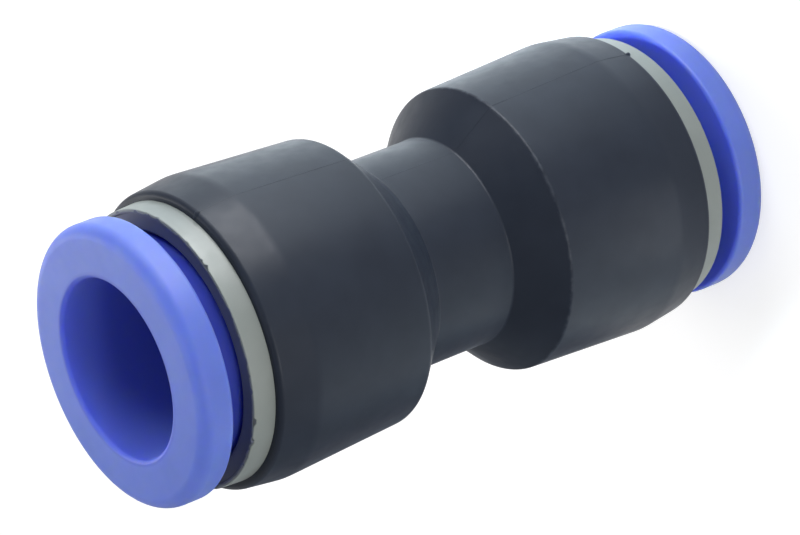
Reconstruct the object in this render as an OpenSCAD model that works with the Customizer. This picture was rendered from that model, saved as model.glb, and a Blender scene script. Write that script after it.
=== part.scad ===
// Push-in reducing connector: a larger tube pushes into the upper end, a smaller one into the lower.
// All of it is round about Z. It stands on the face of its lower release sleeve, which is z = 0.
// Both ends look alike from outside. Inside, every piece is sized from the tube that it holds.

/* [Tubes] */
// Outer diameter of the tube that fits the upper end
large_tube_d = 10; // [8:0.5:12]
// Outer diameter of the tube that fits the lower end
small_tube_d = 8; // [4:0.5:8]
// Inner diameter of the larger tube, and of the way through at its stop
large_tube_bore_d = 6.5; // [5:0.1:7]
// Inner diameter of the smaller tube, and of the way through at its stop
small_tube_bore_d = 5; // [2.5:0.1:5.5]

/* [Body] */
// Wall between the two tube stops
stop_wall = 4; // [3:0.1:6]
// Length of the close-fitting socket that holds each tube's end
socket_length = 5.95; // [4:0.05:9]
// Length of the waist between the two barrels
neck_length = 5.2; // [3:0.1:7]
// Wall of the waist round the larger tube
neck_wall = 1.05; // [0.8:0.05:2]
// Length of each cone from the waist up to a barrel
cone_length = 2.35; // [1.5:0.05:3]
// How much each barrel narrows, in radius, from its widest ring to its cone
barrel_draft = 0.4; // [0.1:0.05:0.6]
// Length of the bevel at each mouth
mouth_bevel_length = 2.4; // [1:0.1:4]
// How much the bevel narrows the barrel, in radius
mouth_bevel = 0.3; // [0.1:0.05:0.6]
// Width of the lip outside the guide ring, at each mouth
mouth_lip = 0.45; // [0.3:0.05:1]
// Rounding of the lip's outer edge
lip_round = 0.35; // [0.1:0.05:0.4]
// Rounding of the sharp rim where a cone meets its barrel
cone_rim_round = 0.3; // [0.1:0.05:1]
// Rounding of the corner where a cone meets the waist
cone_root_round = 0.25; // [0.1:0.05:0.6]
// Depth of the bore that takes the guide ring's spigot
mouth_bore_depth = 2.15; // [1.5:0.05:2.6]

/* [Guide rings] */
// How far each ring stands out of the body
ring_stand_out = 1.35; // [0.8:0.05:2.5]
// Wall of the ring's spigot inside the mouth
spigot_wall = 0.5; // [0.3:0.05:1]
// How far the ring's head steps out over the mouth bore
ring_step = 0.2; // [0.1:0.05:0.4]
// Wall of the ring's head round the collar
ring_head_wall = 0.25; // [0.2:0.05:0.4]
// Narrowing of the ring's head, in radius, towards its front
ring_draft = 0.08; // [0:0.01:0.15]

/* [Collars] */
// How far the collar's face lies behind the ring's front
collar_recess = 0.1; // [0:0.05:0.4]
// Thickness of the collar's head
collar_head = 0.95; // [0.5:0.05:1]
// Length of the collar below the mouth, down to the claw ring
collar_depth = 3; // [2.8:0.05:4]
// Wall of the collar's skirt, round the snap fingers
collar_skirt_wall = 0.42; // [0.3:0.02:0.8]
// Bevel round the collar's hole
collar_bevel = 0.25; // [0.1:0.05:0.4]
// Depth of the shoulder that stops the sleeve, below the mouth
collar_shoulder_depth = 0.85; // [0.5:0.05:1.1]

/* [Release sleeves] */
// Travel of a sleeve, from its stop in to the guide ring
sleeve_travel = 1.25; // [0.8:0.05:1.5]
// Thickness of the sleeve's flange
flange_thickness = 2; // [1.5:0.1:3]
// Rounding of the flange's front edge
flange_round = 0.75; // [0.3:0.05:1]
// Wall of the sleeve's stem
stem_wall = 1.4; // [1.1:0.05:1.6]
// Rounding of the bore's mouth
bore_mouth_round = 0.25; // [0.1:0.05:0.5]
// How far the snap barbs reach past the stem, in radius
barb_reach = 0.28; // [0.15:0.01:0.35]
// Wall of the nose behind the barbs
nose_wall = 0.8; // [0.6:0.05:1]
// Wall of the nose at its tip
nose_tip_wall = 0.45; // [0.3:0.05:0.7]
// Height of the nose's tip above the claw ring's rim
nose_lift = 0.1; // [0:0.05:0.4]
// Number of slits between the snap fingers
slit_count = 4; // [2:1:6]
// Width of a slit
slit_width = 0.9; // [0.6:0.1:1.2]
// Length of a slit up from the nose's tip
slit_length = 2.8; // [2.3:0.1:3.6]

/* [Claw rings] */
// Thickness of the spring steel
claw_thickness = 0.3; // [0.2:0.05:0.5]
// How far inside the tube's surface the teeth reach at rest
tooth_bite = 0.2; // [0.1:0.05:0.4]
// Radial length of a tooth outside the tube's surface
tooth_reach = 1.2; // [0.9:0.05:1.4]
// Slope of the teeth
tooth_slope = 40; // [25:1:50]
// Number of teeth
tooth_count = 12; // [6:1:16]
// Width of the cut between two teeth
tooth_cut = 0.7; // [0.4:0.05:0.9]

/* [Seals] */
// Thickness of the seal ring's section
seal_section = 1.9; // [1.5:0.05:2.4]
// How much smaller than the tube the seal's hole is, in radius
seal_squeeze = 0.1; // [0.05:0.01:0.2]
// Height of the ring between the seal and the claws
backing_height = 1.9; // [1.7:0.05:3]

/* [Clearances] */
// Radial room round a tube in its socket
socket_clearance = 0.05; // [0.02:0.01:0.15]
// Radial room round a tube in a sleeve
sleeve_clearance = 0.1; // [0.05:0.01:0.2]
// Radial room round a sleeve in its collar
running_clearance = 0.08; // [0.03:0.01:0.1]
// Room between a sleeve and its stops along the axis
stop_clearance = 0.05; // [0.02:0.01:0.1]
// Radial room between pieces that press or drop into each other
seat_clearance = 0.02; // [0.01:0.01:0.05]

/* [Hidden] */
$fn = 96;

large = large_tube_d / 2;
small = small_tube_d / 2;

// Radii shared by both ends, worked out from the larger tube outwards
spigot_inner_r = grip_r(large);
spigot_r = spigot_inner_r + spigot_wall;
ring_r = spigot_r + ring_step;
ring_head_inner_r = ring_r - ring_head_wall;
flange_r = ring_r;
mouth_r = ring_r + mouth_lip;
barrel_r = mouth_r + mouth_bevel;
rim_r = barrel_r - barrel_draft;
neck_r = large + socket_clearance + neck_wall;

// Depths below a mouth, and heights above it, along the axis
backing_top = -collar_depth - claw_thickness;
backing_bottom = backing_top - backing_height;
gland_bottom = backing_bottom - seal_section - 2 * seat_clearance;
tube_stop = gland_bottom - socket_length;
collar_face = ring_stand_out - collar_recess;
head_seat = collar_face - collar_head;
flange_back = ring_stand_out + sleeve_travel + stop_clearance;
flange_face = flange_back + flange_thickness;
nose_tip = nose_lift - collar_depth;
barb_top = -collar_shoulder_depth - stop_clearance;

half_body = stop_wall / 2 - tube_stop;
middle = half_body + flange_face;

// Radii of the pieces that hold a tube of radius t
function socket_r(t) = t + socket_clearance;
function sleeve_bore_r(t) = t + sleeve_clearance;
function stem_r(t) = sleeve_bore_r(t) + stem_wall;
function barb_r(t) = stem_r(t) + barb_reach;
function pocket_r(t) = barb_r(t) + running_clearance;
function collar_skirt_r(t) = pocket_r(t) + collar_skirt_wall;
function grip_r(t) = collar_skirt_r(t) + seat_clearance;
function seal_mid_r(t) = t - seal_squeeze + seal_section / 2;
function seal_bore_r(t) = seal_mid_r(t) + seal_section / 2 + seat_clearance;
function tooth_root_r(t) = t + tooth_reach;

// Stretches that repeat in several outlines
overshoot = 1;
round_steps = 5;
socket_lead = 0.3;
backing_room = 0.2;
backing_foot = 0.2;
backing_top_room = 0.4;
spigot_end = -mouth_bore_depth + stop_clearance;
barb_land = 0.4;
barb_ramp = 1;

// One corner of an outline, given as [radius, height, rounding], with its two neighbours.
// The rounding is an arc that touches both edges, limited to fit on the shorter one.
function corner(before, here, after) =
    let (
        point = [here.x, here.y],
        back = [before.x, before.y] - point,
        ahead = [after.x, after.y] - point,
        half = acos(back * ahead / (norm(back) * norm(ahead))) / 2,
        r = min(here.z, 0.45 * min(norm(back), norm(ahead)) * tan(half))
    )
    r < 0.01 ? [point] : arc(point, back / norm(back), ahead / norm(ahead), half, r);

function arc(point, back, ahead, half, r) =
    let (
        centre = point + (back + ahead) / norm(back + ahead) * r / sin(half),
        start = point + back * r / tan(half) - centre,
        finish = point + ahead * r / tan(half) - centre,
        from = atan2(start.y, start.x),
        turn = atan2(start.x * finish.y - start.y * finish.x, start * finish)
    )
    [for (k = [0:round_steps])
        let (angle = from + turn * k / round_steps)
        centre + r * [cos(angle), sin(angle)]];

// A solid turned from its corners
module turned(corners) {
    last = len(corners) - 1;
    rotate_extrude()
        polygon([for (i = [0:last])
            each corner(corners[i == 0 ? last : i - 1], corners[i], corners[i == last ? 0 : i + 1])]);
}

// Each end is drawn with its mouth at height 0 and the way out upwards
module upper_end() {
    translate([0, 0, middle + half_body])
        children();
}

module lower_end() {
    translate([0, 0, middle - half_body])
        mirror([0, 0, 1])
            children();
}

// Half of the body's outside, from the middle of the waist to the mouth
half_outside = [
    [neck_r, neck_length / 2, cone_root_round],
    [rim_r, neck_length / 2 + cone_length, cone_rim_round],
    [barrel_r, half_body - mouth_bevel_length, 2],
    [mouth_r, half_body, lip_round],
];

module body_outside() {
    lower_half = [for (i = [len(half_outside) - 1:-1:0])
        [half_outside[i].x, -half_outside[i].y, half_outside[i].z]];
    turned(concat([[0, -half_body, 0]], lower_half, half_outside, [[0, half_body, 0]]));
}

// Stepped hole for one tube: mouth bore, grip bore, seal gland, tube socket
module tube_socket(t) {
    turned([
        [0, overshoot, 0],
        [spigot_r, overshoot, 0],
        [spigot_r, -mouth_bore_depth, 0],
        [grip_r(t), -mouth_bore_depth, 0],
        [grip_r(t), backing_bottom, 0],
        [seal_bore_r(t), backing_bottom, 0],
        [seal_bore_r(t), gland_bottom, 0],
        [socket_r(t) + socket_lead, gland_bottom, 0],
        [socket_r(t), gland_bottom - socket_lead, 0],
        [socket_r(t), tube_stop, 0],
        [0, tube_stop, 0],
    ]);
}

// The way through between the stops, which narrows from one tube's bore to the other's
module way_through() {
    turned([
        [0, -stop_wall / 2 - overshoot, 0],
        [small_tube_bore_d / 2, -stop_wall / 2 - overshoot, 0],
        [small_tube_bore_d / 2, -stop_wall / 4, 0],
        [large_tube_bore_d / 2, stop_wall / 4, 0],
        [large_tube_bore_d / 2, stop_wall / 2 + overshoot, 0],
        [0, stop_wall / 2 + overshoot, 0],
    ]);
}

module body() {
    color("#33383f")
        difference() {
            translate([0, 0, middle])
                body_outside();
            upper_end()
                tube_socket(large);
            lower_end()
                tube_socket(small);
            translate([0, 0, middle])
                way_through();
        }
}

module guide_ring() {
    color("#aab0ae")
        turned([
            [spigot_inner_r, spigot_end, 0],
            [spigot_r - seat_clearance, spigot_end, 0.15],
            [spigot_r - seat_clearance, 0, 0],
            [ring_r, 0, 0],
            [ring_r - ring_draft, ring_stand_out, 0.06],
            [ring_head_inner_r, ring_stand_out, 0],
            [ring_head_inner_r, head_seat, 0],
            [spigot_inner_r, head_seat, 0],
        ]);
}

module collar(t) {
    hole_r = stem_r(t) + running_clearance;
    color("#23262d")
        turned([
            [hole_r, -collar_shoulder_depth, 0],
            [pocket_r(t), -collar_shoulder_depth, 0],
            [pocket_r(t), -collar_depth, 0],
            [collar_skirt_r(t), -collar_depth, 0],
            [collar_skirt_r(t), spigot_end, 0],
            [spigot_inner_r - seat_clearance, spigot_end, 0],
            [spigot_inner_r - seat_clearance, head_seat, 0],
            [ring_head_inner_r - seat_clearance, head_seat, 0],
            [ring_head_inner_r - seat_clearance, collar_face, 0.1],
            [hole_r + collar_bevel, collar_face, 0],
            [hole_r, collar_face - collar_bevel, 0],
        ]);
}

// Slits from the nose up past the barbs, so that the snap fingers can bend inwards
module finger_slits(reach) {
    for (i = [0:slit_count - 1])
        rotate([0, 0, (i + 0.5) * 360 / slit_count])
            translate([0, 0, nose_tip]) {
                translate([0, -slit_width / 2, -overshoot])
                    cube([reach, slit_width, overshoot + slit_length - slit_width / 2]);
                translate([0, 0, slit_length - slit_width / 2])
                    rotate([0, 90, 0])
                        cylinder(d = slit_width, h = reach, $fn = 24);
            }
}

module release_sleeve(t) {
    bore_r = sleeve_bore_r(t);
    color("#4a5fc4")
        difference() {
            turned([
                [bore_r, nose_tip, 0],
                [bore_r + nose_tip_wall, nose_tip, 0.1],
                [bore_r + nose_wall, nose_tip + nose_wall - nose_tip_wall, 0.1],
                [bore_r + nose_wall, barb_top - barb_land - barb_ramp, 0],
                [barb_r(t), barb_top - barb_land, 0.1],
                [barb_r(t), barb_top, 0.05],
                [stem_r(t), barb_top, 0],
                [stem_r(t), flange_back, 0.1],
                [flange_r, flange_back, 0.08],
                [flange_r, flange_face, flange_round],
                [bore_r, flange_face, bore_mouth_round],
            ]);
            finger_slits(barb_r(t) + overshoot);
        }
}

// Cuts between the teeth, each with a round end at the bend
module tooth_cuts(t) {
    for (i = [0:tooth_count - 1])
        rotate([0, 0, (i + 0.5) * 360 / tooth_count])
            translate([0, 0, backing_top - backing_height]) {
                translate([0, -tooth_cut / 2, 0])
                    cube([tooth_root_r(t), tooth_cut, backing_height + collar_depth]);
                translate([tooth_root_r(t), 0, 0])
                    cylinder(d = tooth_cut, h = backing_height + collar_depth, $fn = 24);
            }
}

// A stamped disc: a flat rim, bent down into sprung teeth that slope away from the mouth
module claw_ring(t) {
    root = tooth_root_r(t);
    tip = t - tooth_bite;
    tip_height = -collar_depth - (root - tip) * tan(tooth_slope);
    under_tip = claw_thickness * [sin(tooth_slope), -cos(tooth_slope)];
    color("#c9ccd0")
        difference() {
            turned([
                [collar_skirt_r(t), -collar_depth, 0],
                [root, -collar_depth, 0.15],
                [tip, tip_height, 0],
                [tip + under_tip.x, tip_height + under_tip.y, 0],
                [root + claw_thickness * tan(tooth_slope / 2), backing_top, 0],
                [collar_skirt_r(t), backing_top, 0],
            ]);
            tooth_cuts(t);
        }
}

module backing_ring(t) {
    color("#d8d4c8")
        turned([
            [t + backing_room, backing_bottom, 0],
            [grip_r(t) - seat_clearance, backing_bottom, 0],
            [grip_r(t) - seat_clearance, backing_top, 0],
            [tooth_root_r(t) + backing_top_room, backing_top, 0],
            [t + backing_room, backing_bottom + backing_foot, 0],
        ]);
}

module seal_ring(t) {
    color("#1c1c1e")
        rotate_extrude()
            translate([seal_mid_r(t), gland_bottom + seat_clearance + seal_section / 2])
                circle(d = seal_section, $fn = 48);
}

module large_release_sleeve() upper_end() release_sleeve(large);
module large_guide_ring() upper_end() guide_ring();
module large_collar() upper_end() collar(large);
module large_claw_ring() upper_end() claw_ring(large);
module large_backing_ring() upper_end() backing_ring(large);
module large_seal_ring() upper_end() seal_ring(large);
module small_release_sleeve() lower_end() release_sleeve(small);
module small_guide_ring() lower_end() guide_ring();
module small_collar() lower_end() collar(small);
module small_claw_ring() lower_end() claw_ring(small);
module small_backing_ring() lower_end() backing_ring(small);
module small_seal_ring() lower_end() seal_ring(small);

body();
large_release_sleeve();
large_guide_ring();
large_collar();
large_claw_ring();
large_backing_ring();
large_seal_ring();
small_release_sleeve();
small_guide_ring();
small_collar();
small_claw_ring();
small_backing_ring();
small_seal_ring();
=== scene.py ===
"""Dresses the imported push-in reducing connector for its photograph.

Every size is in millimetres in the part's own frame, as in part.scad. Z is the common axis, and
the lower sleeve's face is z = 0. Each end is described from its mouth, with heights counted
outwards along the axis.
"""
import math

import bpy
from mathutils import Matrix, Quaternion, Vector, noise as scatter


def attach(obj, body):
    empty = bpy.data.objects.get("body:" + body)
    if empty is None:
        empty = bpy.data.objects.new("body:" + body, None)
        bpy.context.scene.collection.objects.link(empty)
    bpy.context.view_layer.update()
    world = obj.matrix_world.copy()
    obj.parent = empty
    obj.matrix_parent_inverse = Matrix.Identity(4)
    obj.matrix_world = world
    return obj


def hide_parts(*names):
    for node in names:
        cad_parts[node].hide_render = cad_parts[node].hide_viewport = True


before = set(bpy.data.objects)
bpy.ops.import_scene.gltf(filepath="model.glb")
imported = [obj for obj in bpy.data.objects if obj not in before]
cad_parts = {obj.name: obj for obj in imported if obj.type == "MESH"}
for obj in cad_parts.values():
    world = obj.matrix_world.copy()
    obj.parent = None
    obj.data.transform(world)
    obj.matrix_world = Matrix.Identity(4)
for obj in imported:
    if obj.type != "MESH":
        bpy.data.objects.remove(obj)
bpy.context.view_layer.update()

MM = 0.001

# Tubes
LARGE_TUBE = 5.0
SMALL_TUBE = 4.0
LARGE_TUBE_BORE = 3.25
SMALL_TUBE_BORE = 2.5

# Body
STOP_WALL = 4.0
SOCKET_LENGTH = 5.95
NECK_LENGTH = 5.2
NECK_WALL = 1.05
CONE_LENGTH = 2.35
BARREL_DRAFT = 0.4
MOUTH_BEVEL_LENGTH = 2.4
MOUTH_BEVEL = 0.3
MOUTH_LIP = 0.45
LIP_ROUND = 0.35
CONE_RIM_ROUND = 0.3
CONE_ROOT_ROUND = 0.25
BEVEL_ROUND = 3.0
MOUTH_BORE_DEPTH = 2.15
SOCKET_LEAD = 0.3

# Guide rings
RING_STAND_OUT = 1.35
SPIGOT_WALL = 0.5
SPIGOT_END_ROUND = 0.15
RING_STEP = 0.2
RING_HEAD_WALL = 0.25
RING_DRAFT = 0.08
RING_FACE_ROUND = 0.06

# Collars
COLLAR_RECESS = 0.1
COLLAR_HEAD = 0.95
COLLAR_DEPTH = 3.0
COLLAR_SKIRT_WALL = 0.42
COLLAR_BEVEL = 0.25
COLLAR_SHOULDER_DEPTH = 0.85

# Release sleeves
SLEEVE_TRAVEL = 1.25
FLANGE_THICKNESS = 2.0
FLANGE_ROUND = 0.75
FLANGE_BACK_ROUND = 0.25
STEM_WALL = 1.4
BORE_MOUTH_ROUND = 0.25
BARB_REACH = 0.28
BARB_LAND = 0.4
BARB_RAMP = 1.0
BARB_EDGE_ROUND = 0.05
NOSE_WALL = 0.8
NOSE_TIP_WALL = 0.45
NOSE_LIFT = 0.1
SLIT_COUNT = 4
SLIT_WIDTH = 0.9
SLIT_LENGTH = 2.8

# Claws, backing rings and seals
CLAW_THICKNESS = 0.3
BACKING_HEIGHT = 1.9
SEAL_SECTION = 1.9
SEAL_SQUEEZE = 0.1

# Clearances
SOCKET_CLEARANCE = 0.05
SLEEVE_CLEARANCE = 0.1
RUNNING_CLEARANCE = 0.08
STOP_CLEARANCE = 0.05
SEAT_CLEARANCE = 0.02

# Roundings of small edges. Even those that the mould leaves crisp catch a thin line of light
CRISP = 0.04
SOFT = 0.1


def sleeve_bore_r(tube):
    return tube + SLEEVE_CLEARANCE


def stem_r(tube):
    return sleeve_bore_r(tube) + STEM_WALL


def barb_r(tube):
    return stem_r(tube) + BARB_REACH


def pocket_r(tube):
    return barb_r(tube) + RUNNING_CLEARANCE


def collar_skirt_r(tube):
    return pocket_r(tube) + COLLAR_SKIRT_WALL


def grip_r(tube):
    return collar_skirt_r(tube) + SEAT_CLEARANCE


def seal_bore_r(tube):
    return tube - SEAL_SQUEEZE + SEAL_SECTION + SEAT_CLEARANCE


# Radii shared by both ends, from the larger tube outwards
SPIGOT_INNER_R = grip_r(LARGE_TUBE)
SPIGOT_R = SPIGOT_INNER_R + SPIGOT_WALL
RING_R = SPIGOT_R + RING_STEP
RING_HEAD_INNER_R = RING_R - RING_HEAD_WALL
MOUTH_R = RING_R + MOUTH_LIP
BARREL_R = MOUTH_R + MOUTH_BEVEL
RIM_R = BARREL_R - BARREL_DRAFT
NECK_R = LARGE_TUBE + SOCKET_CLEARANCE + NECK_WALL

# Heights along the axis, counted outwards from a mouth
BACKING_BOTTOM = -COLLAR_DEPTH - CLAW_THICKNESS - BACKING_HEIGHT
GLAND_BOTTOM = BACKING_BOTTOM - SEAL_SECTION - 2 * SEAT_CLEARANCE
TUBE_STOP = GLAND_BOTTOM - SOCKET_LENGTH
COLLAR_FACE = RING_STAND_OUT - COLLAR_RECESS
HEAD_SEAT = COLLAR_FACE - COLLAR_HEAD
SPIGOT_END = STOP_CLEARANCE - MOUTH_BORE_DEPTH
FLANGE_BACK = RING_STAND_OUT + SLEEVE_TRAVEL + STOP_CLEARANCE
FLANGE_FACE = FLANGE_BACK + FLANGE_THICKNESS
NOSE_TIP = NOSE_LIFT - COLLAR_DEPTH
BARB_TOP = -COLLAR_SHOULDER_DEPTH - STOP_CLEARANCE

# Half the body's length, and the height of its middle above the lower sleeve's face
HALF_BODY = STOP_WALL / 2 - TUBE_STOP
MIDDLE = HALF_BODY + FLANGE_FACE

# Where the body's mould parted, as an angle about the axis
PARTING_AZIMUTH = math.radians(-43.5)

# The hair of plastic on the parting line. Its height wavers, and it ends in a nub by each lip. Its
# section has shoulders at a share of its height, and its normals lean sideways by the tilt
HAIR_HALF_WIDTH = 0.028
HAIR_HEIGHT = 0.009
HAIR_WAVER = 0.012
HAIR_WAVER_FINENESS = 0.6
HAIR_LEAST_HEIGHT = 0.004
HAIR_SINK = 0.01
HAIR_SHOULDER = 0.8
HAIR_TILT = 0.8
HAIR_STEP = 0.3
NUB_HEIGHT = 0.15
NUB_SPREAD = 1.1
NUB_FROM_LIP = 0.12
NUB_HALF_LENGTH = 0.2

# The film of flash between a collar and its guide ring
FLASH_WIDTH = 0.05
FLASH_REACH = 0.16
FLASH_SINK = 0.03
FLASH_STAND_OUT = 0.015
FLASH_EDGE_ROUND = 0.01
FLASH_SEED = 2.0

# Chips in the near guide ring, and how far in from its outer edge they reach
CHIP_DEPTH = 0.14
CHIPPED_HEIGHT = 0.08
CHIPPED_WIDTH = 0.15
CHIP_SEED = 4.5

# How ragged a moulded edge is: what is there all along, then waves (strength, fineness) and teeth
RAGGED_BASE = 0.22
RAGGED_WAVES = ((0.5, 5), (0.3, 17))
TEETH_FINENESS = 31
TEETH_THRESHOLD = 0.34
TEETH_GAIN = 7

# How finely the meshes are divided
COLUMNS = 160
FINE_COLUMNS = 360
SLIT_STEPS = 8
ARC_STEP = math.radians(10)

# A rounding takes up to this share of the shorter side beside it
ARC_SHARE = 0.45

# The cross product of an outline's sides under which they are in line
FLAT = 1e-6


# Turned meshes


def cross(first, second):
    return first.x * second.y - first.y * second.x


def straight(before, here, after):
    """True if the outline doesn't turn here, as where two steps happen to have one radius."""
    back = Vector(before[:2]) - Vector(here[:2])
    ahead = Vector(after[:2]) - Vector(here[:2])
    return abs(cross(back, ahead)) < FLAT


def rounded(corners):
    """The closed outline through corners (radius, height, rounding), which run anticlockwise.

    It is given as points, each with its outward normal.
    """
    corners = [corner for i, corner in enumerate(corners)
               if not straight(corners[i - 1], corner, corners[(i + 1) % len(corners)])]
    outline = []
    for i, (radius, height, rounding) in enumerate(corners):
        here = Vector((radius, height))
        back = Vector(corners[i - 1][:2]) - here
        ahead = Vector(corners[(i + 1) % len(corners)][:2]) - here
        half = back.angle(ahead) / 2
        arc_r = min(rounding, ARC_SHARE * min(back.length, ahead.length) * math.tan(half))
        back.normalize()
        ahead.normalize()
        centre = here + (back + ahead).normalized() * arc_r / math.sin(half)
        start = here + back * arc_r / math.tan(half) - centre
        side = 1 if cross(back, ahead) < 0 else -1
        turn = math.pi - 2 * half
        steps = max(2, math.ceil(turn / ARC_STEP))
        for k in range(steps + 1):
            angle = side * turn * k / steps
            cosine, sine = math.cos(angle), math.sin(angle)
            spoke = Vector((start.x * cosine - start.y * sine, start.x * sine + start.y * cosine))
            outline.append((centre + spoke, spoke.normalized() * side))
    return outline


def placed(corners, end):
    """Corners given from a mouth, moved to that end of the part. The lower end is turned over."""
    if end == "large":
        return [(r, MIDDLE + HALF_BODY + h, e) for r, h, e in corners]
    return [(r, MIDDLE - HALF_BODY - h, e) for r, h, e in reversed(corners)]


def linked(name, data):
    """A new object in the scene."""
    made = bpy.data.objects.new(name, data)
    bpy.context.scene.collection.objects.link(made)
    return made


class Shell:
    """Faces that carry a normal for each of their corners, and the object made from them."""

    def __init__(self):
        self.points, self.faces, self.normals = [], [], []

    def point(self, x, y, z):
        self.points.append((x * MM, y * MM, z * MM))
        return len(self.points) - 1

    def face(self, corners):
        self.faces.append([index for index, _ in corners])
        self.normals.extend(normal for _, normal in corners)

    def build(self, name):
        mesh = bpy.data.meshes.new(name)
        mesh.from_pydata(self.points, [], self.faces)
        mesh.shade_smooth()
        mesh.normals_split_custom_set(self.normals)
        return linked(name, mesh)


def strip(here, there):
    """The faces between two columns of corners."""
    return [[here[i], there[i], there[i + 1], here[i + 1]] for i in range(len(here) - 1)]


def each_with_next(columns):
    """Pairs of neighbours round the axis."""
    return zip(columns, columns[1:] + columns[:1])


def turned(name, corners, shift=None, count=COLUMNS):
    """A solid of revolution. shift(azimuth, radius, height) moves a point of the outline."""
    outline = rounded(corners)
    shell = Shell()
    columns = []
    for k in range(count):
        azimuth = 2 * math.pi * k / count
        cosine, sine = math.cos(azimuth), math.sin(azimuth)
        column = []
        for point, normal in outline:
            r, z = shift(azimuth, *point) if shift else point
            index = shell.point(r * cosine, r * sine, z)
            column.append((index, (normal.x * cosine, normal.x * sine, normal.y)))
        columns.append(column + column[:1])
    for here, there in each_with_next(columns):
        for face in strip(here, there):
            shell.face(face)
    return shell.build(name)


def around(azimuth, seed):
    """A place in the noise that goes round with the azimuth, so that no seam shows."""
    return Vector((math.cos(azimuth), math.sin(azimuth), seed))


def teeth(azimuth, seed):
    """Sharp teeth along a moulded edge, up to 1. They are 0 nearly everywhere."""
    peak = scatter.noise(around(azimuth, seed) * TEETH_FINENESS)
    return min(1.0, max(0.0, peak - TEETH_THRESHOLD) * TEETH_GAIN)


def ragged(azimuth, seed):
    """How uneven a moulded edge is, from 0 to 1: mostly slight, with a few sharp teeth."""
    spot = around(azimuth, seed)
    waves = [strength * scatter.noise(spot * fineness) for strength, fineness in RAGGED_WAVES]
    return min(1.0, max(0.0, sum(waves, RAGGED_BASE)) + teeth(azimuth, seed + 0.5))


# Pieces


def half_outside():
    """Half of the body's outside, from the middle of the waist to the mouth."""
    return [
        (NECK_R, NECK_LENGTH / 2, CONE_ROOT_ROUND),
        (RIM_R, NECK_LENGTH / 2 + CONE_LENGTH, CONE_RIM_ROUND),
        (BARREL_R, HALF_BODY - MOUTH_BEVEL_LENGTH, BEVEL_ROUND),
        (MOUTH_R, HALF_BODY, LIP_ROUND),
    ]


def whole_outside():
    """The body's outside from the lower mouth to the upper one."""
    lower = [(r, MIDDLE - h, e) for r, h, e in reversed(half_outside())]
    return lower + [(r, MIDDLE + h, e) for r, h, e in half_outside()]


def socket_corners(tube):
    """The stepped hole for one tube, from the mouth inwards, without the way through."""
    return [
        (SPIGOT_R, 0, SOFT),
        (SPIGOT_R, -MOUTH_BORE_DEPTH, CRISP),
        (grip_r(tube), -MOUTH_BORE_DEPTH, CRISP),
        (grip_r(tube), BACKING_BOTTOM, CRISP),
        (seal_bore_r(tube), BACKING_BOTTOM, CRISP),
        (seal_bore_r(tube), GLAND_BOTTOM, CRISP),
        (tube + SOCKET_CLEARANCE + SOCKET_LEAD, GLAND_BOTTOM, CRISP),
        (tube + SOCKET_CLEARANCE, GLAND_BOTTOM - SOCKET_LEAD, CRISP),
        (tube + SOCKET_CLEARANCE, TUBE_STOP, CRISP),
    ]


def body():
    upper = placed(socket_corners(LARGE_TUBE), "large")
    lower = placed(socket_corners(SMALL_TUBE), "small")
    way_through = [
        (LARGE_TUBE_BORE, MIDDLE + STOP_WALL / 2, CRISP),
        (LARGE_TUBE_BORE, MIDDLE + STOP_WALL / 4, CRISP),
        (SMALL_TUBE_BORE, MIDDLE - STOP_WALL / 4, CRISP),
        (SMALL_TUBE_BORE, MIDDLE - STOP_WALL / 2, CRISP),
    ]
    return turned("body_moulding", whole_outside() + upper + way_through + lower)


def chipped(azimuth, r, z):
    """Puts small chips along the outer edge of the near guide ring's face."""
    face = MIDDLE + HALF_BODY + RING_STAND_OUT
    if z > face - CHIPPED_HEIGHT and r > RING_R - CHIPPED_WIDTH:
        z -= CHIP_DEPTH * teeth(azimuth, CHIP_SEED)
    return r, z


def guide_ring(end):
    ring = placed([
        (SPIGOT_INNER_R, SPIGOT_END, CRISP),
        (SPIGOT_R - SEAT_CLEARANCE, SPIGOT_END, SPIGOT_END_ROUND),
        (SPIGOT_R - SEAT_CLEARANCE, 0, CRISP),
        (RING_R, 0, CRISP),
        (RING_R - RING_DRAFT, RING_STAND_OUT, RING_FACE_ROUND),
        (RING_HEAD_INNER_R, RING_STAND_OUT, CRISP),
        (RING_HEAD_INNER_R, HEAD_SEAT, CRISP),
        (SPIGOT_INNER_R, HEAD_SEAT, CRISP),
    ], end)
    shift = chipped if end == "large" else None
    return turned(f"{end}_guide_ring_moulding", ring, shift, FINE_COLUMNS)


def flash(end):
    """The ragged film of black plastic between a collar and the face of its guide ring."""
    inner, outer = RING_HEAD_INNER_R - FLASH_WIDTH, RING_HEAD_INNER_R
    bottom, top = COLLAR_FACE - FLASH_SINK, RING_STAND_OUT + FLASH_STAND_OUT
    seed = FLASH_SEED if end == "large" else -FLASH_SEED

    def spread(azimuth, r, z):
        if r > (inner + outer) / 2:
            r += FLASH_REACH * ragged(azimuth, seed)
        return r, z

    section = [(inner, bottom), (outer, bottom), (outer, top), (inner, top)]
    bar = placed([(r, h, FLASH_EDGE_ROUND) for r, h in section], end)
    return turned(f"{end}_collar_flash", bar, spread, FINE_COLUMNS)


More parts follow.
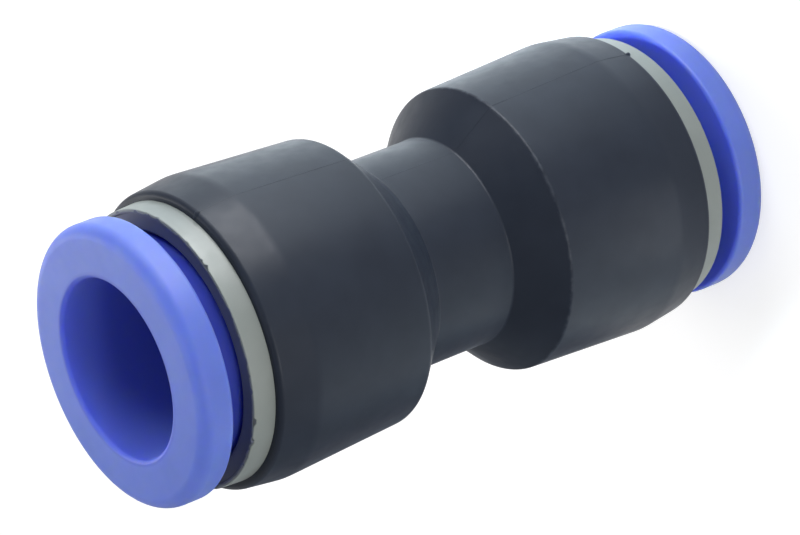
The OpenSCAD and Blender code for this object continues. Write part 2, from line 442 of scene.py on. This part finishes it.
def collar(end, tube):
    hole_r = stem_r(tube) + RUNNING_CLEARANCE
    return turned(f"{end}_collar_moulding", placed([
        (hole_r, -COLLAR_SHOULDER_DEPTH, CRISP),
        (pocket_r(tube), -COLLAR_SHOULDER_DEPTH, CRISP),
        (pocket_r(tube), -COLLAR_DEPTH, CRISP),
        (collar_skirt_r(tube), -COLLAR_DEPTH, CRISP),
        (collar_skirt_r(tube), SPIGOT_END, CRISP),
        (SPIGOT_INNER_R - SEAT_CLEARANCE, SPIGOT_END, CRISP),
        (SPIGOT_INNER_R - SEAT_CLEARANCE, HEAD_SEAT, CRISP),
        (RING_HEAD_INNER_R - SEAT_CLEARANCE, HEAD_SEAT, CRISP),
        (RING_HEAD_INNER_R - SEAT_CLEARANCE, COLLAR_FACE, SOFT),
        (hole_r + COLLAR_BEVEL, COLLAR_FACE, CRISP),
        (hole_r, COLLAR_FACE - COLLAR_BEVEL, CRISP),
    ], end))


def sleeve_corners(tube):
    bore = sleeve_bore_r(tube)
    return [
        (bore, NOSE_TIP, CRISP),
        (bore + NOSE_TIP_WALL, NOSE_TIP, SOFT),
        (bore + NOSE_WALL, NOSE_TIP + NOSE_WALL - NOSE_TIP_WALL, SOFT),
        (bore + NOSE_WALL, BARB_TOP - BARB_LAND - BARB_RAMP, SOFT),
        (barb_r(tube), BARB_TOP - BARB_LAND, SOFT),
        (barb_r(tube), BARB_TOP, BARB_EDGE_ROUND),
        (stem_r(tube), BARB_TOP, CRISP),
        (stem_r(tube), FLANGE_BACK, SOFT),
        (RING_R, FLANGE_BACK, FLANGE_BACK_ROUND),
        (RING_R, FLANGE_FACE, FLANGE_ROUND),
        (bore, FLANGE_FACE, BORE_MOUTH_ROUND),
    ]


def release_sleeve(end, tube):
    """The sleeve, turned in one go. Across a slit, only the outline above its end is kept."""
    flip = 1 if end == "large" else -1
    mouth = MIDDLE + flip * HALF_BODY
    half = SLIT_WIDTH / 2
    slit_end = NOSE_TIP + SLIT_LENGTH - half
    outline = rounded(sleeve_corners(tube))
    # The outline starts at the nose, so what is above the slit's end is one run in its middle
    above = [i for i, (point, _) in enumerate(outline) if point.y > slit_end + half]
    upper = outline[above[0]:above[-1] + 1]
    under = outline[above[-1] + 1:] + outline[:above[0]]
    shell = Shell()

    def column(turn, offset=None, whole=True):
        """The corners above the cut and the rest, at this angle or at an offset beside it."""
        def corner(r, height, normal):
            if offset is None:
                cosine, sine = math.cos(turn), math.sin(turn)
            else:
                along, aside = math.sqrt(r * r - offset * offset) / r, offset / r
                cosine = along * math.cos(turn) - aside * math.sin(turn)
                sine = along * math.sin(turn) + aside * math.cos(turn)
            index = shell.point(r * cosine, r * sine, mouth + flip * height)
            return index, (normal[0] * cosine, normal[0] * sine, normal[1] * flip)

        reach = 0 if offset is None else math.sqrt(max(0, half * half - offset * offset))
        top = [corner(*point, normal) for point, normal in upper]
        start = corner(stem_r(tube), slit_end + reach, (1, 0))
        finish = corner(sleeve_bore_r(tube), slit_end + reach, (-1, 0))
        low = [corner(*point, normal) for point, normal in under] if whole else []
        return [start, *top, finish], [finish, *low, start]

    def add_faces(faces):
        for corners in faces:
            shell.face(corners if flip > 0 else corners[::-1])

    columns, walls = [], []
    edge_angle = math.asin(half / stem_r(tube))
    span = 2 * math.pi / SLIT_COUNT - 2 * edge_angle
    between = COLUMNS // SLIT_COUNT
    for slit in range(SLIT_COUNT):
        turn = 2 * math.pi * (slit + 0.5) / SLIT_COUNT
        for k in range(SLIT_STEPS + 1):
            angle = math.pi * k / SLIT_STEPS
            aside, down = math.cos(angle), math.sin(angle)
            normal = (-math.sin(turn) * aside, math.cos(turn) * aside, -flip * down)
            top, rest = column(turn, -half * aside, whole=k in (0, SLIT_STEPS))
            columns.append((top, rest, normal))
            if k == 0:
                walls.append([(index, normal) for index, _ in rest[::-1]])
            elif k == SLIT_STEPS:
                walls.append([(index, normal) for index, _ in rest])
        for k in range(1, between):
            columns.append((*column(turn + edge_angle + span * k / between), None))
    for (top, rest, normal), (next_top, next_rest, next_normal) in each_with_next(columns):
        add_faces(strip(top, next_top))
        if normal and next_normal:
            # The slit's round end, between the inner and the outer surface
            add_faces([[(top[-1][0], normal), (next_top[-1][0], next_normal),
                        (next_top[0][0], next_normal), (top[0][0], normal)]])
        else:
            add_faces(strip(rest, next_rest))
    add_faces(walls)
    return shell.build(f"{end}_sleeve_moulding")


def parting_line(azimuth, name):
    """The hair of plastic left along the body's outside where the mould's halves met."""
    corners = whole_outside()
    inside_r = NECK_R - 1
    inside = [(inside_r, corners[-1][1], 0), (inside_r, corners[0][1], 0)]
    run = [spot for spot in rounded(corners + inside) if spot[0].x > (inside_r + NECK_R) / 2]
    fine = []
    for (here, normal), (there, next_normal) in zip(run, run[1:]):
        parts = max(1, round((there - here).length / HAIR_STEP))
        fine += [(here.lerp(there, k / parts), normal.lerp(next_normal, k / parts).normalized())
                 for k in range(parts)]
    fine.append(run[-1])
    shell = Shell()
    cosine, sine = math.cos(azimuth), math.sin(azimuth)
    rows = []
    for point, normal in fine:
        waver = scatter.noise(Vector((point.y * HAIR_WAVER_FINENESS, azimuth, 0)))
        from_lip = HALF_BODY - abs(point.y - MIDDLE)
        nub = NUB_HEIGHT * max(0.0, 1 - abs(from_lip - NUB_FROM_LIP) / NUB_HALF_LENGTH)
        height = max(HAIR_LEAST_HEIGHT, HAIR_HEIGHT + HAIR_WAVER * waver) + nub
        half = HAIR_HALF_WIDTH + NUB_SPREAD * nub
        foot, shoulder = -HAIR_SINK, HAIR_SHOULDER * height
        row = []
        for side, out in ((-1, foot), (-0.5, shoulder), (0, height), (0.5, shoulder), (1, foot)):
            r, across, tilt = point.x + normal.x * out, side * half, side * HAIR_TILT
            index = shell.point(r * cosine - across * sine, r * sine + across * cosine,
                                point.y + normal.y * out)
            outward = Vector((normal.x * cosine - tilt * sine, normal.x * sine + tilt * cosine,
                              normal.y)).normalized()
            row.append((index, tuple(outward)))
        rows.append(row)
    for here, there in zip(rows, rows[1:]):
        for i in range(len(here)):
            j = (i + 1) % len(here)
            shell.face([here[i], here[j], there[j], there[i]])
    shell.face([(index, (0, 0, -1)) for index, _ in rows[0][::-1]])
    shell.face([(index, (0, 0, 1)) for index, _ in rows[-1]])
    return shell.build(name)


# Materials. Noise is given by the width of its features

CLOUD_WIDTH = 2.5
GLOSS_WIDTH = 0.9
GLOSS_SPREAD = 0.04
WAVE_WIDTH = 3.0
GRAIN_WIDTH = 0.07

# The rim of the lower cone, lightened in a broken band: painted highlight along its crease, with
# rubbing
WORN_LIT_RIM = MIDDLE - NECK_LENGTH / 2 - CONE_LENGTH
WORN_WIDTH = 0.14
WORN_SPOT_WIDTH = 0.5
WORN_SPOT_DETAIL = 5.0
WORN_SPOT_EDGE = (0.46, 0.66)
WORN_GLINT_BLACK = (0.045, 0.053, 0.07)

# Where a sleeve's painted shade blends into its own colour: how far out from its bore, and how
# far past its flange's back
BORE_SHADE_EDGE = (0.02, 0.4)
FLANGE_SHADE_EDGE = (-0.25, 0.2)

# How far red, green and blue light spreads inside the sleeves' plastic
SCATTER_RADIUS = (0.12, 0.22, 1.4)
SCATTER_SCALE = 0.9

# Painted light on each sleeve where its flange shades it: a deeper blue painted in the bore for
# its shade and blue bounce light, painted shade on the large stem, a painted glow on the small one
BORE_SHADE_BLUE = (0.115, 0.168, 0.71)
LARGE_STEM_SHADE_BLUE = (0.043, 0.066, 0.46)
SMALL_STEM_GLOW_BLUE = (0.062, 0.105, 0.86)

STEEL_DARK = (0.48, 0.49, 0.5)
STEEL_LIGHT = (0.66, 0.67, 0.69)
STEEL_ROUGHNESS = (0.22, 0.38)
STREAK_WIDTH = 0.6
STREAK_DETAIL = 4.0
STREAK_STRETCH = 12
STREAK_DEPTH = 0.004

RUBBER_DARK = (0.012, 0.012, 0.013)
RUBBER_LIGHT = (0.025, 0.025, 0.026)
RUBBER_ROUGHNESS = (0.45, 0.62)
RUBBER_CLOUD_WIDTH = 0.8
RUBBER_GLOSS_WIDTH = 0.2
RUBBER_GRAIN_WIDTH = 0.06
RUBBER_GRAIN = 0.003


def add(tree, kind, **values):
    node = tree.nodes.new(kind)
    for key, value in values.items():
        if key in node.inputs:
            node.inputs[key].default_value = value
        else:
            setattr(node, key, value)
    return node


def new_material(name):
    material = bpy.data.materials.new(name)
    material.use_nodes = True
    tree = material.node_tree
    shader = next(n for n in tree.nodes if n.type == "BSDF_PRINCIPLED")
    place = tree.nodes.new("ShaderNodeTexCoord").outputs["Object"]
    return material, tree, shader, place


def noise(tree, place, width, detail=3.0):
    """Noise whose features are about this wide."""
    node = add(tree, "ShaderNodeTexNoise", Scale=1 / (width * MM), Detail=detail)
    tree.links.new(place, node.inputs["Vector"])
    return node.outputs["Fac"]


def ramp(tree, value, low, high, from_low=0.3, from_high=0.7):
    """Maps a value to the range from low to high. Noise lies mostly between 0.3 and 0.7."""
    node = add(tree, "ShaderNodeMapRange")
    node.inputs["From Min"].default_value = from_low
    node.inputs["From Max"].default_value = from_high
    node.inputs["To Min"].default_value = low
    node.inputs["To Max"].default_value = high
    tree.links.new(value, node.inputs["Value"])
    return node.outputs["Result"]


def maths(tree, operation, first, second=None):
    node = add(tree, "ShaderNodeMath", operation=operation)
    for value, socket in zip((first, second), node.inputs):
        if value is None:
            continue
        if isinstance(value, (int, float)):
            socket.default_value = value
        else:
            tree.links.new(value, socket)
    return node.outputs[0]


def length(tree, vector):
    node = add(tree, "ShaderNodeVectorMath", operation="LENGTH")
    tree.links.new(vector, node.inputs[0])
    return node.outputs["Value"]


def height_from(tree, place, level):
    """How far a spot is from this height, above or below it."""
    parts = add(tree, "ShaderNodeSeparateXYZ")
    tree.links.new(place, parts.inputs[0])
    return maths(tree, "ABSOLUTE", maths(tree, "SUBTRACT", parts.outputs["Z"], level * MM))


def bump(tree, height, distance, over=None):
    node = add(tree, "ShaderNodeBump", Distance=distance * MM)
    tree.links.new(height, node.inputs["Height"])
    if over is not None:
        tree.links.new(over, node.inputs["Normal"])
    return node.outputs["Normal"]


def mixed(tree, factor, first, second):
    """Blends two colours, each a socket or a plain colour."""
    node = tree.nodes.new("ShaderNodeMix")
    node.data_type = "RGBA"
    tree.links.new(factor, node.inputs["Factor"])
    for colour, socket in ((first, node.inputs["A"]), (second, node.inputs["B"])):
        if isinstance(colour, tuple):
            socket.default_value = (*colour, 1)
        else:
            tree.links.new(colour, socket)
    return node.outputs["Result"]


def rim_wear_and_glint(tree, place):
    """1 on the rim's painted highlight and rubbing, broken up by noise, and 0 elsewhere."""
    band = ramp(tree, height_from(tree, place, WORN_LIT_RIM), 1, 0, 0, WORN_WIDTH * MM)
    spots = noise(tree, place, WORN_SPOT_WIDTH, WORN_SPOT_DETAIL)
    return maths(tree, "MULTIPLY", band, ramp(tree, spots, 0, 1, *WORN_SPOT_EDGE))


def sleeve_shade_masks(tree, place, bore):
    """Two masks for a sleeve's painted shade: 1 outside its bore, and 1 on its unshaded flange."""
    flat = add(tree, "ShaderNodeVectorMath", operation="MULTIPLY")
    tree.links.new(place, flat.inputs[0])
    flat.inputs[1].default_value = (1, 1, 0)
    outside = ramp(tree, length(tree, flat.outputs[0]), 0, 1,
                   *((bore + skin) * MM for skin in BORE_SHADE_EDGE))
    above = ramp(tree, height_from(tree, place, MIDDLE), 0, 1,
                 *((HALF_BODY + FLANGE_BACK + skin) * MM for skin in FLANGE_SHADE_EDGE))
    return outside, maths(tree, "MULTIPLY", outside, above)


def moulded_plastic(name, dark, light, roughness, specular, grain, waves, worn=None, sleeve=None):
    """Plastic with clouds of slightly different colour and gloss, and with fine grain on waves.

    grain and waves are heights. worn is the colour of the rim's painted highlight, broken up like
    rubbing. sleeve is for a sleeve: the colours of its bore and its stem, painted shade and glow,
    and its bore's radius.
    """
    material, tree, shader, place = new_material(name)
    colour = mixed(tree, ramp(tree, noise(tree, place, CLOUD_WIDTH), 0, 1), dark, light)
    # Painted highlight along the lower cone's rim, broken up like rubbing
    if worn:
        colour = mixed(tree, rim_wear_and_glint(tree, place), colour, worn)
    if sleeve:
        # Painted shade and glow: the bore and the stem take darker, deeper blues, and only the
        # flange keeps the sleeve's own colour
        bore_shade, stem_painted, bore = sleeve
        outside, flange = sleeve_shade_masks(tree, place, bore)
        colour = mixed(tree, flange, mixed(tree, outside, bore_shade, stem_painted), colour)
        shader.inputs["Subsurface Weight"].default_value = 1.0
        shader.inputs["Subsurface Radius"].default_value = SCATTER_RADIUS
        shader.inputs["Subsurface Scale"].default_value = SCATTER_SCALE * MM
    tree.links.new(colour, shader.inputs["Base Color"])
    gloss = ramp(tree, noise(tree, place, GLOSS_WIDTH),
                 roughness - GLOSS_SPREAD, roughness + GLOSS_SPREAD)
    tree.links.new(gloss, shader.inputs["Roughness"])
    shader.inputs["Specular IOR Level"].default_value = specular
    long_waves = bump(tree, noise(tree, place, WAVE_WIDTH, detail=1.0), waves)
    fine = bump(tree, noise(tree, place, GRAIN_WIDTH, detail=2.0), grain, over=long_waves)
    tree.links.new(fine, shader.inputs["Normal"])
    return material


def sleeve_plastic(end, tube, painted_stem_blue):
    return moulded_plastic(f"moulded_blue_{end}", (0.134, 0.204, 0.64), (0.150, 0.224, 0.68),
                           roughness=0.46, specular=0.24, grain=0.0008, waves=0.004,
                           sleeve=(BORE_SHADE_BLUE, painted_stem_blue, sleeve_bore_r(tube)))


def matt_plastic(name, dark, light):
    return moulded_plastic(name, dark, light,
                           roughness=0.45, specular=0.4, grain=0.0015, waves=0.003)


def spring_steel(name):
    """Stamped steel with fine streaks left by rolling."""
    material, tree, shader, place = new_material(name)
    stretch = add(tree, "ShaderNodeMapping")
    stretch.inputs["Scale"].default_value = (1, STREAK_STRETCH, 1)
    tree.links.new(place, stretch.inputs["Vector"])
    streaks = noise(tree, stretch.outputs["Vector"], STREAK_WIDTH, STREAK_DETAIL)
    colour = mixed(tree, ramp(tree, streaks, 0, 1), STEEL_DARK, STEEL_LIGHT)
    tree.links.new(colour, shader.inputs["Base Color"])
    tree.links.new(ramp(tree, streaks, *STEEL_ROUGHNESS), shader.inputs["Roughness"])
    tree.links.new(bump(tree, streaks, STREAK_DEPTH), shader.inputs["Normal"])
    shader.inputs["Metallic"].default_value = 1.0
    return material


def rubber(name):
    material, tree, shader, place = new_material(name)
    clouds = ramp(tree, noise(tree, place, RUBBER_CLOUD_WIDTH), 0, 1)
    tree.links.new(mixed(tree, clouds, RUBBER_DARK, RUBBER_LIGHT), shader.inputs["Base Color"])
    gloss = ramp(tree, noise(tree, place, RUBBER_GLOSS_WIDTH), *RUBBER_ROUGHNESS)
    tree.links.new(gloss, shader.inputs["Roughness"])
    grain = bump(tree, noise(tree, place, RUBBER_GRAIN_WIDTH), RUBBER_GRAIN)
    tree.links.new(grain, shader.inputs["Normal"])
    return material


MATERIALS = {
    # The body's black carries a painted highlight on the lower cone's rim
    "body_black": moulded_plastic("moulded_black", (0.017, 0.022, 0.034), (0.021, 0.027, 0.041),
                                  roughness=0.40, specular=0.13, grain=0.0012, waves=0.004,
                                  worn=WORN_GLINT_BLACK),
    # The sleeves' blues carry painted shade in the bores and on the stems, and a painted glow on
    # the small stem
    "sleeve_blue_large": sleeve_plastic("large", LARGE_TUBE, LARGE_STEM_SHADE_BLUE),
    "sleeve_blue_small": sleeve_plastic("small", SMALL_TUBE, SMALL_STEM_GLOW_BLUE),
    "ring_grey": matt_plastic("moulded_grey", (0.220, 0.245, 0.230), (0.246, 0.270, 0.256)),
    # The collar's dark grey is lightened and tinted blue: painted bounce light from the blue flange
    # that shades it
    "collar_black": matt_plastic("moulded_collar_blue_bounce", (0.092, 0.106, 0.145), (0.106, 0.122, 0.168)),
    "backing_ivory": matt_plastic("moulded_ivory", (0.66, 0.63, 0.54), (0.74, 0.71, 0.62)),
    "claw_steel": spring_steel("spring_steel"),
    "seal_rubber": rubber("seal_rubber_black"),
}


def dress(piece, slot, body_name=None, *nodes, material=None):
    """Gives a piece its material.

    A new piece also gets its body, and the CAD nodes that it stands for.
    """
    piece.data.materials.clear()
    piece.data.materials.append(MATERIALS[material or slot])
    if body_name:
        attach(piece, body_name)
        if nodes:
            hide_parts(*nodes)


# Assembly

dress(body(), "body_black", "fitting", "body")
dress(parting_line(PARTING_AZIMUTH, "parting_line_front"), "body_black", "fitting")
dress(parting_line(PARTING_AZIMUTH + math.pi, "parting_line_back"), "body_black", "fitting")
for end, tube in (("large", LARGE_TUBE), ("small", SMALL_TUBE)):
    dress(guide_ring(end), "ring_grey", "fitting", f"{end}_guide_ring")
    # The collar and its flash carry painted blue bounce light in their colour
    dress(collar(end, tube), "collar_black", "fitting", f"{end}_collar")
    dress(flash(end), "collar_black", "fitting")
    dress(release_sleeve(end, tube), "sleeve_blue", f"{end}_sleeve", f"{end}_release_sleeve",
          material=f"sleeve_blue_{end}")
    dress(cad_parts[f"{end}_claw_ring"], "claw_steel")
    dress(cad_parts[f"{end}_backing_ring"], "backing_ivory")
    dress(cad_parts[f"{end}_seal_ring"], "seal_rubber")


# Camera, as measured from the photo: where it stood, how it was rolled, and its lens

CAMERA_AWAY = 187.27
CAMERA_HEIGHT = 139.67
CAMERA_AIM = (-0.42, 0.33, 20.26)
CAMERA_ROLL = math.radians(-111.35)
CAMERA_LENS = 179.7

# Nearest and farthest that it sees, in metres
CAMERA_CLIP = (0.01, 20)


def make_camera():
    data = bpy.data.cameras.new("camera")
    data.lens = CAMERA_LENS
    data.clip_start, data.clip_end = CAMERA_CLIP
    camera = linked("camera", data)
    stand = Vector((0, -CAMERA_AWAY, CAMERA_HEIGHT)) * MM
    level = (Vector(CAMERA_AIM) * MM - stand).to_track_quat("-Z", "Y")
    camera.location = stand
    camera.rotation_mode = "QUATERNION"
    camera.rotation_quaternion = level @ Quaternion((0, 0, 1), CAMERA_ROLL)
    bpy.context.scene.camera = camera


# Floor. Radius and height in metres: it runs level and then rises into a low backdrop

FLOOR_SWEEP = ((1.4, 0), (1.8, 0.06), (2.0, 0.2), (2.1, 0.5))
FLOOR_SIDES = 48
FLOOR_SINK = 0.02
PAPER_DARK = (0.56, 0.56, 0.56)
PAPER_LIGHT = (0.58, 0.58, 0.58)
PAPER_CLOUD_WIDTH = 40.0

# What is seen of the floor glows this much up to the first distance from the part's foot, and
# fully from the second one, both in metres
FLOOR_GLOW = 0.66
FLOOR_GLOW_REACH = (0.15, 0.6)


def seen_directly(tree):
    """1 for what the camera sees, and for what gloss and glass show of the background."""
    rays = tree.nodes.new("ShaderNodeLightPath").outputs
    seen = maths(tree, "MAXIMUM", rays["Is Camera Ray"], rays["Is Glossy Ray"])
    return maths(tree, "MAXIMUM", seen, rays["Is Transmission Ray"])


def floor_paper():
    """Matt paper. What is seen of it is lifted to white, and it still shows the shadow."""
    material, tree, shader, place = new_material("floor_paper")
    clouds = ramp(tree, noise(tree, place, PAPER_CLOUD_WIDTH), 0, 1)
    tree.links.new(mixed(tree, clouds, PAPER_DARK, PAPER_LIGHT), shader.inputs["Base Color"])
    shader.inputs["Roughness"].default_value = 1.0
    shader.inputs["Specular IOR Level"].default_value = 0.0
    shader.inputs["Emission Color"].default_value = (1, 1, 1, 1)
    glow = ramp(tree, length(tree, place), FLOOR_GLOW, 1, *FLOOR_GLOW_REACH)
    glow = maths(tree, "MULTIPLY", seen_directly(tree), glow)
    tree.links.new(glow, shader.inputs["Emission Strength"])
    return material


def make_floor():
    mesh = bpy.data.meshes.new("floor")
    points, faces = [(0, 0, 0)], []
    rings = len(FLOOR_SWEEP)
    for k in range(FLOOR_SIDES):
        turn = 2 * math.pi * k / FLOOR_SIDES
        points += [(r * math.cos(turn), r * math.sin(turn), rise) for r, rise in FLOOR_SWEEP]
        here, there = 1 + k * rings, 1 + (k + 1) % FLOOR_SIDES * rings
        faces.append((0, here, there))
        faces += [(here + i - 1, here + i, there + i, there + i - 1) for i in range(1, rings)]
    mesh.from_pydata(points, [], faces)
    mesh.materials.append(floor_paper())
    floor = linked("floor", mesh)
    floor.location.z = -FLOOR_SINK * MM


# Light and world

AMBIENT = 0.34

# The lamps that throw pools of light on the floor
POOL_HEIGHT = 160
POOL_EDGE = 0.3
POOL_LAMP_SIZE = 3

# A grey card beside the part, with one leaf on the floor and one that stands
FLAG_GREY = (0.42, 0.45, 0.51)
FLAG_CORNERS = ((-14, 10, 1), (-14, 150, 1), (-60, 150, 1), (-60, -10, 1),
                (-60, 150, 45), (-60, -10, 45))
FLAG_FACES = ((0, 1, 2, 3), (3, 2, 4, 5))


def aimed_lamp(name, place, size, target):
    """A rectangular lamp that faces its target and that the camera doesn't see."""
    data = bpy.data.lights.new(name, "AREA")
    data.shape = "RECTANGLE"
    data.size, data.size_y = size[0] * MM, size[1] * MM
    lamp = linked(name, data)
    lamp.location = Vector(place) * MM
    lamp.rotation_mode = "QUATERNION"
    lamp.rotation_quaternion = (Vector(place) - Vector(target)).to_track_quat("Z", "Y")
    lamp.visible_camera = False
    return lamp


def make_lamp(name, place, size, strength, tint=(1, 1, 1)):
    """A soft lamp. strength 1 lights a surface of the part that faces it at a plain level."""
    middle = (0, 0, MIDDLE)
    lamp = aimed_lamp(name, place, size, middle)
    lamp.data.color = tint
    # On its axis a Lambertian lamp gives watts / (pi * distance squared), and plain light is pi
    distance = (Vector(place) - Vector(middle)).length * MM
    lamp.data.energy = strength * math.pi ** 2 * distance ** 2


def make_pool(name, place, radius, strength, tint):
    """A round pool of light on the floor, which the plastic reflects."""
    data = bpy.data.lights.new(name, "SPOT")
    data.spot_size = 2 * math.atan(radius / POOL_HEIGHT)
    data.spot_blend = POOL_EDGE
    data.shadow_soft_size = POOL_LAMP_SIZE * MM
    data.color = tint
    data.energy = strength * 4 * math.pi ** 2 * (POOL_HEIGHT * MM) ** 2
    lamp = linked(name, data)
    lamp.location = Vector((*place, POOL_HEIGHT)) * MM


def make_card(name, place, size, brightness, target):
    """A bright card that only gloss shows. brightness 1 is white paper."""
    card = aimed_lamp(name, place, size, target)
    card.data.energy = brightness * math.pi * card.data.size * card.data.size_y
    card.visible_diffuse = False


def make_flag(name):
    """A grey card that only gloss shows, so that the pale floor doesn't rim the lower edges."""
    mesh = bpy.data.meshes.new(name)
    mesh.from_pydata([Vector(corner) * MM for corner in FLAG_CORNERS], [], FLAG_FACES)
    material, _, shader, _ = new_material(name)
    shader.inputs["Base Color"].default_value = (*FLAG_GREY, 1)
    mesh.materials.append(material)
    card = linked(name, mesh)
    card.visible_camera = False
    card.visible_diffuse = False
    card.visible_shadow = False


def make_world():
    world = bpy.data.worlds.new("studio")
    bpy.context.scene.world = world
    world.use_nodes = True
    background = next(n for n in world.node_tree.nodes if n.type == "BACKGROUND")
    background.inputs["Color"].default_value = (1, 1, 1, 1)
    background.inputs["Strength"].default_value = AMBIENT


make_camera()
make_floor()
make_world()
make_lamp("key", place=(255, -95, 75), size=(180, 180), strength=0.66, tint=(0.93, 0.98, 1.05))
make_lamp("back", place=(60, 70, 150), size=(90, 90), strength=0.28)
make_lamp("top", place=(0, 0, 330), size=(70, 70), strength=0.1)
make_lamp("fill", place=(-150, -255, 60), size=(200, 140), strength=0.48)
make_pool("sweep", place=(60, 0), radius=56, strength=3.5, tint=(0.76, 0.91, 1))
make_pool("side", place=(-36, -14), radius=26, strength=1.8, tint=(0.75, 0.92, 1))
# For the soft patch by the near mouth, a fainter one by the far mouth, and the near flange's rim
make_card("patch", place=(50, -36, 15), size=(56, 14), brightness=21.0, target=(4.3, -7.4, 33.5))
make_card("low", place=(-10, -14, 0.5), size=(14, 8), brightness=3.0, target=(-4.5, -7.5, 5))
make_card("rim", place=(18, 60, 66), size=(36, 36), brightness=2.8, target=(3, 5, 39.5))
make_flag("flag")

bpy.context.scene.view_settings.view_transform = "Standard"
